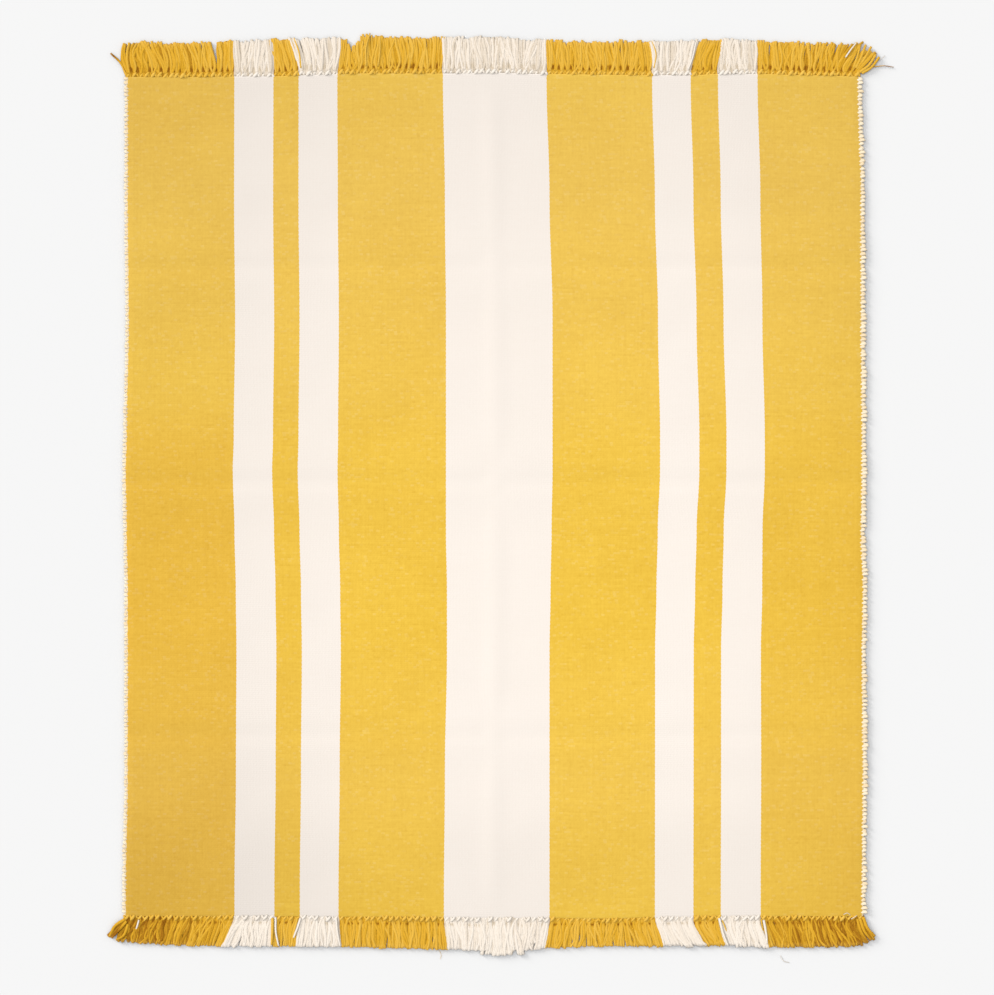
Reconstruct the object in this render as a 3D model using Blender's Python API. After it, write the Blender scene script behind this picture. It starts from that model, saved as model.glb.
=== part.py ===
"""Striped flat-woven cotton rug with a knotted heading and a yarn fringe at each end.

Units are metres, with +Z up. The rug lies on the plane Z = 0, its length along Y and its width along X.
The origin is on that plane, under the middle of the rug's outline. The far end is at +Y.
"""

import math
from typing import NamedTuple

import bmesh
import bpy

MM = 0.001

# The woven field
CLOTH_THICKNESS = 4.0 * MM
SELVEDGE_THICKNESS = 2.6 * MM
SELVEDGE_ROUND = 4.0 * MM
NOMINAL_EDGE = 700.0 * MM
PIECE_GAP = 0.3 * MM

# The heading, a row of half-hitch knots that ties off the warp at each end
HEADING_WIDTH = 8.0 * MM
VALLEY_HEIGHT = 3.4 * MM
KNOT_HEIGHT = 5.4 * MM
SHOULDER_SHARE = 0.64
KNOT_SLANT = 2.4 * MM
KNOT_FLANK = 0.1

# The lengthwise crease, which fades out before it reaches the headings
SPINE_HEIGHT = 0.7 * MM
SPINE_HALF_WIDTH = 26.0 * MM
SPINE_FADE = 70.0 * MM

# The fringe's locks
LOCK_FILL = 0.82
LOCK_CREST_SHARE = 0.66
LOCK_BOW = 0.8 * MM
LOCK_UNEVENNESS = 2.0 * MM
TURN_PER_LOCK = 2.4


class Stripe(NamedTuple):
    """A lengthwise stripe: its yarn, its width and the knots that tie it off at each end."""

    yarn: str
    width_mm: float
    knots: int


class Drift(NamedTuple):
    """How far the weave wanders towards +X, in millimetres, at one place along the rug."""

    place_mm: float
    left_selvedge: float
    left_stripes: float
    centre_left: float
    centre_right: float
    right_stripes: float
    right_selvedge: float


class Crease(NamedTuple):
    """A soft trough across the rug, left by folding, between two low swells of the cloth.

    The swells' height is given at the rug's left side, its middle and its right side. They crest at
    shoulder_mm from the crease and are level again fade_mm farther out.
    """

    place_mm: float
    left_mm: float
    centre_mm: float
    right_mm: float
    shoulder_mm: float
    fade_mm: float


class EndSection(NamedTuple):
    """An end of the rug at one place across it.

    edge_mm is how far out the heading ends. The fringe reaches reach_mm past it, and lean_deg is how far
    it leans from straight out towards +X.
    """

    place_mm: float
    edge_mm: float
    lean_deg: float
    reach_mm: float


class Knot(NamedTuple):
    """A knot's left and right sides across the rug, and the number of the yarn that it ties."""

    left: float
    right: float
    yarn: int


class LockLine(NamedTuple):
    """A lock's middle line on the floor: its root, its lean as a slope, its reach and its bow."""

    x: float
    y: float
    slope: float
    reach: float
    bow: float

    def x_at(self, share):
        """Where the line is across the rug at a share of its reach."""
        return self.x + self.reach * share * self.slope + self.bow * math.sin(math.pi * share)


class LockStep(NamedTuple):
    """A section of a lock, as shares of its reach, of the width it has room for and of its height."""

    reach: float
    width: float
    height: float


STRIPES = (
    Stripe("yellow", 180, 18),
    Stripe("natural", 65, 6),
    Stripe("yellow", 42, 4),
    Stripe("natural", 65, 6),
    Stripe("yellow", 177, 17),
    Stripe("natural", 173, 17),
    Stripe("yellow", 175, 17),
    Stripe("natural", 64, 6),
    Stripe("yellow", 45, 4),
    Stripe("natural", 65, 6),
    Stripe("yellow", 168, 17),
)

DRIFT = (
    Drift(-652, -3.3, 0.8, -3.3, -1.7, -2.9, 0.8),
    Drift(-454, 0.0, 2.8, -1.7, -1.7, -2.6, 2.5),
    Drift(-256, 0.0, 4.0, 1.7, -1.7, -2.4, 0.8),
    Drift(-157, 0.0, 2.5, 1.7, 0.0, 0.0, 2.5),
    Drift(-57, -1.7, 0.0, 0.0, 1.7, 2.5, -0.8),
    Drift(42, -3.3, -3.2, 0.0, 3.3, 7.2, 0.8),
    Drift(91, -1.7, -1.9, 0.0, 3.3, 7.4, 0.8),
    Drift(290, 1.7, 0.0, 0.0, 3.3, 2.2, -0.8),
    Drift(488, 0.0, -1.7, -1.7, -1.7, -2.9, -0.8),
    Drift(686, 0.0, -1.2, -5.0, -6.6, -7.4, -5.8),
)

CREASES = (
    Crease(-393, 0.8, 0.5, 0.5, 20, 70),
    Crease(22, 0.9, 0.6, 0.8, 20, 80),
    Crease(377, 0.7, 0.4, 0.7, 20, 70),
)

FAR_END = (
    EndSection(-610, 700, -12, 41),
    EndSection(-595, 700, -8, 46),
    EndSection(-570, 700, -6, 49),
    EndSection(-512, 700, -8, 47),
    EndSection(-428, 701, -2, 50),
    EndSection(-366, 701, -2, 50),
    EndSection(-322, 703, -14, 52),
    EndSection(-259, 705, 5, 51),
    EndSection(-233, 706, 0, 38),
    EndSection(-205, 706, -3, 55),
    EndSection(-170, 706, -4, 51),
    EndSection(-80, 706, 2, 50),
    EndSection(6, 707, 0, 51),
    EndSection(92, 705, 0, 46),
    EndSection(179, 704, -3, 45),
    EndSection(268, 703, -4, 48),
    EndSection(331, 703, 16, 49),
    EndSection(377, 705, 9, 49),
    EndSection(440, 705, 0, 46),
    EndSection(525, 703, 4, 45),
    EndSection(579, 702, 22, 44),
    EndSection(602, 701, 43, 32),
    EndSection(610, 701, 43, 32),
)

NEAR_END = (
    EndSection(-610, 702, -48, 27),
    EndSection(-604, 702, -48, 27),
    EndSection(-596, 702, -30, 36),
    EndSection(-570, 702, -14, 39),
    EndSection(-512, 702, -10, 42),
    EndSection(-428, 702, -24, 44),
    EndSection(-366, 702, -4, 44),
    EndSection(-322, 702, -8, 44),
    EndSection(-259, 703, 6, 44),
    EndSection(-170, 703, 0, 46),
    EndSection(-80, 704, 8, 47),
    EndSection(-20, 705, 2, 48),
    EndSection(5, 705, 0, 56),
    EndSection(35, 705, -2, 55),
    EndSection(60, 705, -6, 47),
    EndSection(92, 705, -13, 44),
    EndSection(179, 706, 4, 40),
    EndSection(268, 704, 19, 42),
    EndSection(331, 703, 27, 42),
    EndSection(377, 702, 10, 42),
    EndSection(440, 702, 18, 46),
    EndSection(525, 702, 14, 45),
    EndSection(579, 702, 24, 43),
    EndSection(610, 702, 34, 35),
)

LOCK_STEPS = (
    LockStep(0.3, 1.0, 0.95),
    LockStep(0.75, 0.94, 0.85),
    LockStep(1.0, 0.62, 0.55),
)

YARN_COLOURS = {"yellow": (0.80, 0.50, 0.07, 1.0), "natural": (0.89, 0.84, 0.76, 1.0)}
YARN_ROUGHNESS = 0.9

WIDTH = sum(stripe.width_mm for stripe in STRIPES) * MM
FIELD_HALF_LENGTH = NOMINAL_EDGE - HEADING_WIDTH - PIECE_GAP


def clear_scene():
    """Removes whatever the file opened with."""
    for old in list(bpy.data.objects):
        bpy.data.objects.remove(old, do_unlink=True)


def make_yarn_materials(part_name):
    """The part's own materials, one for each yarn, in the order of YARN_COLOURS."""
    made = []
    for yarn, colour in YARN_COLOURS.items():
        material = bpy.data.materials.new(f"{part_name} {yarn} cotton")
        material.use_nodes = True
        shader = material.node_tree.nodes["Principled BSDF"]
        shader.inputs["Base Color"].default_value = colour
        shader.inputs["Roughness"].default_value = YARN_ROUGHNESS
        shader.inputs["Metallic"].default_value = 0.0
        material.diffuse_color = colour
        made.append(material)
    return made


def eased(share):
    """A share from 0 to 1 with a soft start and end."""
    held = min(max(share, 0.0), 1.0)
    return 0.5 - 0.5 * math.cos(math.pi * held)


def read_table(rows, column, place):
    """A column's value at a place, eased from each row to the next and level past the last rows."""
    place_mm = place / MM
    if place_mm <= rows[0].place_mm:
        return getattr(rows[0], column)
    for low, high in zip(rows, rows[1:]):
        if place_mm <= high.place_mm:
            share = eased((place_mm - low.place_mm) / (high.place_mm - low.place_mm))
            return getattr(low, column) * (1 - share) + getattr(high, column) * share
    return getattr(rows[-1], column)


def between(places, values, place):
    """The straight-line value at a place, from rising places and their values."""
    place = min(max(place, places[0]), places[-1])
    for index in range(1, len(places)):
        if place <= places[index]:
            share = (place - places[index - 1]) / (places[index] - places[index - 1])
            return values[index - 1] * (1 - share) + values[index] * share
    return values[-1]


def stripe_edges():
    """Where each stripe starts, and the last one ends, across the rug."""
    edges = [-WIDTH / 2]
    for stripe in STRIPES:
        edges.append(edges[-1] + stripe.width_mm * MM)
    return edges


EDGES = stripe_edges()
NARROW_LEFT = (EDGES[2] + EDGES[3]) / 2
NARROW_RIGHT = (EDGES[8] + EDGES[9]) / 2
DRIFT_PLACES = (EDGES[0], NARROW_LEFT, EDGES[5], EDGES[6], NARROW_RIGHT, EDGES[-1])
DRIFT_COLUMNS = Drift._fields[1:]


def drift(across, along):
    """How far the weave has wandered towards +X at a place in the rug."""
    values = [read_table(DRIFT, column, along) * MM for column in DRIFT_COLUMNS]
    return between(DRIFT_PLACES, values, across)


def column_places():
    """Where the field's columns of points stand across the rug."""
    middles = [(EDGES[i] + EDGES[i + 1]) / 2 for i in (0, 2, 4, 6, 8, 10)]
    spine = [share * SPINE_HALF_WIDTH for share in (-1.0, -0.5, 0.0, 0.5, 1.0)]
    selvedges = [EDGES[0] + SELVEDGE_ROUND, EDGES[-1] - SELVEDGE_ROUND]
    return sorted(EDGES + middles + spine + selvedges)


def row_places():
    """Where the field's rows of points stand along the rug."""
    ends = [-FIELD_HALF_LENGTH, FIELD_HALF_LENGTH]
    fades = [-FIELD_HALF_LENGTH + SPINE_FADE, FIELD_HALF_LENGTH - SPINE_FADE]
    creases = [(crease.place_mm + step) * MM for crease in CREASES for step in crease_steps(crease)]
    drifts = [row.place_mm * MM for row in DRIFT if 150 < abs(row.place_mm) < 300]
    return sorted(ends + fades + creases + drifts)


def crease_steps(crease):
    """How far from a crease's line its rows of points stand, in millimetres."""
    shoulder, outer = crease.shoulder_mm, crease.shoulder_mm + crease.fade_mm
    one_side = (shoulder / 2, shoulder, (shoulder + outer) / 2, outer)
    return [-step for step in one_side] + [0.0] + list(one_side)


COLUMNS = column_places()


def heading_edge(end, across):
    """How far out an end's heading stops, on straight runs between the field's columns."""
    levels = [read_table(end, "edge_mm", column) * MM for column in COLUMNS]
    return between(COLUMNS, levels, across)


def swell(crease, across, along):
    """The rise of the cloth beside a crease."""
    heights = (crease.left_mm, crease.centre_mm, crease.right_mm)
    height = between((EDGES[0], 0.0, EDGES[-1]), heights, across) * MM
    distance = abs(along / MM - crease.place_mm)
    if distance <= crease.shoulder_mm:
        return height * eased(distance / crease.shoulder_mm)
    return height * eased(1.0 - (distance - crease.shoulder_mm) / crease.fade_mm)


def lift(across, along):
    """How far the creases raise the cloth off the floor."""
    from_end = FIELD_HALF_LENGTH - abs(along)
    spine = SPINE_HEIGHT * min(1.0, from_end / SPINE_FADE) * eased(1.0 - abs(across) / SPINE_HALF_WIDTH)
    return max([spine] + [swell(crease, across, along) for crease in CREASES])


def field_point(across, along):
    """A point of the field's underside."""
    end = FAR_END if along > 0 else NEAR_END
    field_end = heading_edge(end, across) - HEADING_WIDTH - PIECE_GAP
    stretch = field_end / FIELD_HALF_LENGTH
    return across + drift(across, along), along * stretch, lift(across, along)


def stripe_at(across):
    """The stripe that a place across the rug lies in."""
    for stripe, right in zip(STRIPES, EDGES[1:]):
        if across < right:
            return stripe
    return STRIPES[-1]


def yarn_index(across):
    """Which of the yarn materials a place across the rug takes."""
    return list(YARN_COLOURS).index(stripe_at(across).yarn)


def add_object(name, bm):
    """Makes the object of a finished mesh, with the part's own yarn materials."""
    bmesh.ops.recalc_face_normals(bm, faces=bm.faces[:])
    mesh = bpy.data.meshes.new(name)
    bm.to_mesh(mesh)
    bm.free()
    for material in make_yarn_materials(name):
        mesh.materials.append(material)
    made = bpy.data.objects.new(name, mesh)
    bpy.context.scene.collection.objects.link(made)
    return made


def build_field():
    """The woven cloth, one sheet whose both faces follow the creases."""
    rows = row_places()
    bm = bmesh.new()
    steps_across, steps_along = len(COLUMNS) - 1, len(rows) - 1
    bmesh.ops.create_grid(bm, x_segments=steps_across, y_segments=steps_along, size=1.0)
    places = {}
    for vert in bm.verts:
        column = round((vert.co.x + 1) / 2 * steps_across)
        row = round((vert.co.y + 1) / 2 * steps_along)
        places[vert] = (COLUMNS[column], rows[row])
    for face in bm.faces:
        middle = sum(places[vert][0] for vert in face.verts) / len(face.verts)
        face.material_index = yarn_index(middle)
    for vert, (across, along) in places.items():
        vert.co = field_point(across, along)
    upper = bmesh.ops.extrude_face_region(bm, geom=bm.faces[:])
    selvedge = WIDTH / 2 - SELVEDGE_ROUND / 2
    for item in upper["geom"]:
        if isinstance(item, bmesh.types.BMVert):
            at_selvedge = abs(item.co.x - drift(item.co.x, item.co.y)) > selvedge
            item.co.z += SELVEDGE_THICKNESS if at_selvedge else CLOTH_THICKNESS
    return add_object("woven_field", bm)


def heading_section(end, side, across, bump):
    """The five points of the heading's section, from under its inner side to above it."""
    rise = VALLEY_HEIGHT + (KNOT_HEIGHT - VALLEY_HEIGHT) * bump
    shoulder = rise * SHOULDER_SHARE
    slant = KNOT_SLANT * bump
    outline = (
        (0.0, 0.0, 0.0),
        (0.0, HEADING_WIDTH, 0.0),
        (0.0, HEADING_WIDTH, shoulder),
        (slant / 2, HEADING_WIDTH / 2, rise),
        (slant, 0.0, shoulder),
    )
    points = []
    for sideways, outwards, height in outline:
        place = across + sideways
        x = place + drift(place, side * FIELD_HALF_LENGTH)
        y = heading_edge(end, place) - HEADING_WIDTH + outwards
        points.append((x, side * y, height))
    return points


def knot_places():
    """The heading's knots, from left to right."""
    knots = []
    for stripe, left in zip(STRIPES, EDGES):
        pitch = stripe.width_mm * MM / stripe.knots
        for number in range(stripe.knots):
            knot_left = left + number * pitch
            knots.append(Knot(knot_left, knot_left + pitch, yarn_index(knot_left + pitch / 2)))
    return knots


def extend(bm, face, points, yarn):
    """Extrudes a face, drops the old one and moves the new corners, in order, to the points."""
    new_face = bmesh.ops.extrude_discrete_faces(bm, faces=[face])["faces"][0]
    for vert, point in zip(new_face.verts, points):
        vert.co = point
    for around in {around for vert in new_face.verts for around in vert.link_faces}:
        around.material_index = yarn
    return new_face


def outer_face(tip, side):
    """The upright outer face of the stretch of heading that ends in the tip."""
    outermost = max(tip.edges, key=lambda edge: side * sum(vert.co.y for vert in edge.verts))
    return next(face for face in outermost.link_faces if face != tip)


def build_heading(bm, end, side):
    """The knotted strip. Returns the outer face of each knot, where its lock grows."""
    knots = knot_places()
    first = knots[0]
    start = heading_section(end, side, first.left, 0.0)
    cap = bm.faces.new([bm.verts.new(point) for point in start])
    grown = bmesh.ops.extrude_face_region(bm, geom=[cap])["geom"]
    tip = next(item for item in grown if isinstance(item, bmesh.types.BMFace))
    half_flank = KNOT_FLANK * (first.right - first.left) / 2
    for vert, point in zip(tip.verts, heading_section(end, side, first.left + half_flank, 0.5)):
        vert.co = point
    roots = []
    for knot in knots:
        flank = KNOT_FLANK * (knot.right - knot.left)
        tip = extend(bm, tip, heading_section(end, side, knot.left + flank, 1.0), knot.yarn)
        tip = extend(bm, tip, heading_section(end, side, knot.right - flank, 1.0), knot.yarn)
        roots.append(outer_face(tip, side))
        tip = extend(bm, tip, heading_section(end, side, knot.right, 0.0), knot.yarn)
    return roots


def lock_lines(end, side, roots):
    """The middle line of each lock, from left to right."""
    lines = []
    for number, (root, knot) in enumerate(zip(roots, knot_places())):
        across = (knot.left + knot.right) / 2
        wave = math.sin(TURN_PER_LOCK * number + side)
        slope = math.tan(math.radians(read_table(end, "lean_deg", across)))
        reach = read_table(end, "reach_mm", across) * MM + LOCK_UNEVENNESS * wave
        middle = root.calc_center_median()
        lines.append(LockLine(middle.x, middle.y, slope, reach, LOCK_BOW * wave))
    return lines


def grow_lock(bm, root, line, neighbours, side, yarn):
    """Extrudes one lock from its knot. It lies level on the floor and narrows towards its tip."""
    middle = root.calc_center_median()
    root_width = max(vert.co.x for vert in root.verts) - min(vert.co.x for vert in root.verts)
    root_height = max(vert.co.z for vert in root.verts)
    corners = [(vert.co.x > middle.x, vert.co.z > middle.z) for vert in root.verts]
    face = root
    for step in LOCK_STEPS:
        x = line.x_at(step.reach)
        room = min(abs(other.x_at(step.reach) - x) for other in neighbours)
        half_width = min(root_width, LOCK_FILL * room) * step.width / 2
        points = []
        for at_right, at_top in corners:
            half = half_width * (LOCK_CREST_SHARE if at_top else 1.0)
            points.append(
                (
                    x + half if at_right else x - half,
                    line.y + side * line.reach * step.reach,
                    root_height * step.height if at_top else 0.0,
                )
            )
        face = extend(bm, face, points, yarn)


def build_fringe(name, end, side):
    """One end's heading with its locks, fused at their roots."""
    bm = bmesh.new()
    roots = build_heading(bm, end, side)
    lines = lock_lines(end, side, roots)
    for number, (root, knot) in enumerate(zip(roots, knot_places())):
        neighbours = lines[max(number - 1, 0) : number] + lines[number + 1 : number + 2]
        grow_lock(bm, root, lines[number], neighbours, side, knot.yarn)
    return add_object(name, bm)


def main():
    """Builds the rug's three pieces."""
    clear_scene()
    build_field()
    build_fringe("far_fringe", FAR_END, 1)
    build_fringe("near_fringe", NEAR_END, -1)


main()
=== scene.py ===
"""Dresses the flat-woven cotton rug: striped cloth, selvedge turns, knotted headings and a yarn fringe.

Units are metres, +Z up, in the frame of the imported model. The rug lies on the plane Z = 0 with its length
along Y, its far end at +Y and its width along X.
"""

import logging
import math
import random
from dataclasses import dataclass, field
from enum import Enum
from functools import lru_cache, partial
from typing import Callable, ClassVar, NamedTuple, Sequence

import bmesh
import bpy
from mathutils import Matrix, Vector, noise

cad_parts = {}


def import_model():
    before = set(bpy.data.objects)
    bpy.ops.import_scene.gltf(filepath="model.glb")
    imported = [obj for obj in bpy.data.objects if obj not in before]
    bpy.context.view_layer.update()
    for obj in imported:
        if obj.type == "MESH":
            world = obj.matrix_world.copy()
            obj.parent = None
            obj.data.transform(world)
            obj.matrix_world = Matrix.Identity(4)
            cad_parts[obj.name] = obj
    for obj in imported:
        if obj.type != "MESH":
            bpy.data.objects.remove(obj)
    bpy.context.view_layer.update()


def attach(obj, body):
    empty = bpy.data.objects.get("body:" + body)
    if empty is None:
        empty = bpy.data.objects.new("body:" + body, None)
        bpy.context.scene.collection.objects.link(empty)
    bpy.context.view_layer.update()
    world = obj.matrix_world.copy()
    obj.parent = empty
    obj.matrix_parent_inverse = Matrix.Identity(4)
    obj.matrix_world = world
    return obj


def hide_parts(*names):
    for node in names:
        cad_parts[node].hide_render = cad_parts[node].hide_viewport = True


Material = bpy.types.Material
Mesh = bmesh.types.BMesh
Node = bpy.types.Node
Socket = bpy.types.NodeSocket
AddNode = Callable[..., Socket]

LOG = logging.getLogger("cotton_rug")
MM = 0.001
BODY = "root"
ORIGIN_PX = (494.6, 495.3)
METRES_PER_PX = 1.653 * MM
TUCKED_FROM = 0.6


class Yarn(Enum):
    """The two cotton yarns of the rug."""

    YELLOW = "yellow"
    NATURAL = "natural"


class End(Enum):
    """The rug's two ends, by the sign of Y."""

    FAR = 1
    NEAR = -1


class Stripe(NamedTuple):
    """A lengthwise stripe: its yarn, its width and the knots that tie it off at each end."""

    yarn: Yarn
    width_mm: float
    knots: int


class Drift(NamedTuple):
    """How far the weave wanders towards +X, in millimetres, at one place along the rug."""

    place_mm: float
    left_selvedge: float
    left_stripes: float
    centre_left: float
    centre_right: float
    right_stripes: float
    right_selvedge: float


class Crease(NamedTuple):
    """A soft trough across the rug, left by folding, between two low swells of the cloth.

    The swells' height is given at the rug's left side, its middle and its right side. They crest at
    shoulder_mm from the crease and are level again fade_mm farther out.
    """

    place_mm: float
    left_mm: float
    centre_mm: float
    right_mm: float
    shoulder_mm: float
    fade_mm: float


class EndSection(NamedTuple):
    """An end of the rug at one place across it: the heading's edge, the fringe's lean and its reach."""

    place_mm: float
    edge_mm: float
    lean_deg: float
    reach_mm: float


class Knot(NamedTuple):
    """A knot's left and right sides across the rug, its yarn, and whether another yarn is next to it."""

    left: float
    right: float
    yarn: Yarn
    at_border: bool


class ShadeAndFade(NamedTuple):
    """The cloth's tone at a place: its level against the brightest part, which is painted shade, and how pale
    and warm its dye is.
    """

    place_mm: float
    level: float
    pale: float
    warm: float


class Tone(NamedTuple):
    """A grain in the cloth's colour: its size, whether it keeps to single picks, and its strength."""

    across_mm: float
    along_mm: float
    by_pick: bool
    strength: float


class Notch(NamedTuple):
    """A dip in the line of the fringe's tips, at a place in the photograph."""

    x_px: float
    half_width_px: float
    depth_mm: float


class Opening(NamedTuple):
    """A place in the photograph where the fringe parts towards its tips, and half the parting's width."""

    x_px: float
    half_width_px: float


class LoneYarn(NamedTuple):
    """A yarn that strays from its own lock, by where it lies in the photograph."""

    radius_mm: float
    height_mm: float
    root_x_px: float
    root_y_px: float
    middle_x_px: float
    middle_y_px: float
    tip_x_px: float
    tip_y_px: float
    tip_depth: float


class KnotDraws(NamedTuple):
    """The chances of one knot, each from -1 to 1."""

    crest: float
    over: float
    under: float
    tone: float
    out: float
    size: float


class ClumpDraws(NamedTuple):
    """The chances that all of a knot's fringe yarns share, spread normally round nought."""

    lean: float
    bow: float
    reach: float


class YarnDraws(NamedTuple):
    """The chances of one fringe yarn, each from -1 to 1. The spare one keeps the later yarns as they are."""

    lean: float
    reach: float
    size: float
    bow: float
    sway: float
    height: float
    hook: float
    tone: float
    spare: float


class Sun(NamedTuple):
    """A distant soft light: where it shines from, its strength, its colour and how wide it is."""

    name: str
    shines_from: tuple[float, float, float]
    energy: float
    colour: tuple[float, float, float]
    angle_deg: float


STRIPES = tuple(Stripe(*row) for row in (
    (Yarn.YELLOW, 180, 18),
    (Yarn.NATURAL, 65, 6),
    (Yarn.YELLOW, 42, 4),
    (Yarn.NATURAL, 65, 6),
    (Yarn.YELLOW, 177, 17),
    (Yarn.NATURAL, 173, 17),
    (Yarn.YELLOW, 175, 17),
    (Yarn.NATURAL, 64, 6),
    (Yarn.YELLOW, 45, 4),
    (Yarn.NATURAL, 65, 6),
    (Yarn.YELLOW, 168, 17),
))

DRIFT = tuple(Drift(*row) for row in (
    (-652, -3.3, 0.8, -3.3, -1.7, -2.9, 0.8),
    (-454, 0.0, 2.8, -1.7, -1.7, -2.6, 2.5),
    (-256, 0.0, 4.0, 1.7, -1.7, -2.4, 0.8),
    (-157, 0.0, 2.5, 1.7, 0.0, 0.0, 2.5),
    (-57, -1.7, 0.0, 0.0, 1.7, 2.5, -0.8),
    (42, -3.3, -3.2, 0.0, 3.3, 7.2, 0.8),
    (91, -1.7, -1.9, 0.0, 3.3, 7.4, 0.8),
    (290, 1.7, 0.0, 0.0, 3.3, 2.2, -0.8),
    (488, 0.0, -1.7, -1.7, -1.7, -2.9, -0.8),
    (686, 0.0, -1.2, -5.0, -6.6, -7.4, -5.8),
))

CREASES = tuple(Crease(*row) for row in (
    (-393, 0.8, 0.5, 0.5, 20, 70),
    (22, 0.9, 0.6, 0.8, 20, 80),
    (377, 0.7, 0.4, 0.7, 20, 70),
))

FAR_END = tuple(EndSection(*row) for row in (
    (-610, 700, -6, 46), (-595, 700, -6, 48), (-570, 700, -6, 49), (-512, 700, -8, 47),
    (-428, 701, -2, 50), (-366, 701, -2, 50), (-322, 703, -14, 52), (-259, 705, 5, 51),
    (-233, 706, 0, 38), (-205, 706, -3, 55), (-170, 706, -4, 51), (-80, 706, 2, 50),
    (6, 707, 0, 51), (92, 705, 0, 46), (179, 704, -3, 45), (268, 703, -4, 48), (331, 703, 16, 49),
    (377, 705, 9, 49), (440, 705, 0, 46), (525, 703, 4, 45), (579, 702, 22, 44), (602, 701, 43, 32),
    (610, 701, 43, 32),
))

NEAR_END = tuple(EndSection(*row) for row in (
    (-610, 702, -48, 27), (-604, 702, -48, 27), (-596, 702, -30, 36), (-570, 702, -14, 39),
    (-512, 702, -10, 42), (-428, 702, -24, 44), (-366, 702, -4, 44), (-322, 702, -8, 44),
    (-259, 703, 6, 44), (-170, 703, 0, 46), (-80, 704, 8, 47), (-20, 705, 2, 48), (5, 705, 0, 56),
    (35, 705, -2, 55), (60, 705, -6, 47), (92, 705, -13, 44), (179, 706, 4, 40), (268, 704, 19, 42),
    (331, 703, 27, 42), (377, 702, 10, 42), (440, 702, 18, 46), (525, 702, 14, 45),
    (579, 702, 24, 43), (610, 702, 30, 33),
))

END_TABLES = {End.FAR: FAR_END, End.NEAR: NEAR_END}

# How the yarns of the fringe bow sideways halfway out, towards +X
FAR_BOW = (
    (-606, -6.0), (-585, -4.0), (-555, 1.2), (-500, 2.2), (-455, 1.4), (-420, 0.0), (-330, 2.0),
    (-290, 2.4), (-200, 0.0), (-110, 2.4), (-60, -1.6), (0, 0.6), (120, -0.8), (235, 1.8),
    (262, 2.6), (300, 0.0), (350, -1.4), (540, 0.0), (600, -2.4),
)

NEAR_BOW = (
    (-606, -1.6), (-560, -2.8), (-500, 0.8), (-400, -1.2), (-330, -2.0), (-250, 1.0), (-100, 1.6),
    (0, 0.0), (120, -1.0), (240, 1.6), (330, -2.6), (400, -3.0), (470, 0.8), (600, -2.6),
)

BOW_TABLES = {End.FAR: FAR_BOW, End.NEAR: NEAR_BOW}

# How much deeper than their finish each fringe's yarns are, and how much more at its corners
FRINGE_DEPTHS = {
    (End.FAR, Yarn.YELLOW): (0.12, 0.14),
    (End.FAR, Yarn.NATURAL): (0.4, 0.0),
    (End.NEAR, Yarn.YELLOW): (0.14, 0.42),
    (End.NEAR, Yarn.NATURAL): (0.22, 0.0),
}

NOTCHES = {
    End.FAR: (
        Notch(351.8, 2.9, 11.0),
        Notch(472, 4.0, 3.5),
        Notch(506, 4.0, 3.0),
        Notch(808, 2.5, 4.5),
        Notch(818, 2.5, 4.5),
        Notch(832, 2.5, 5.0),
    ),
    End.NEAR: (
        Notch(516, 3.0, 7.0),
        Notch(534, 1.6, 10.0),
    ),
}

OPENINGS = {
    End.FAR: (
        Opening(216.5, 3.6),
        Opening(849.0, 1.6),
    ),
    End.NEAR: (),
}

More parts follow.
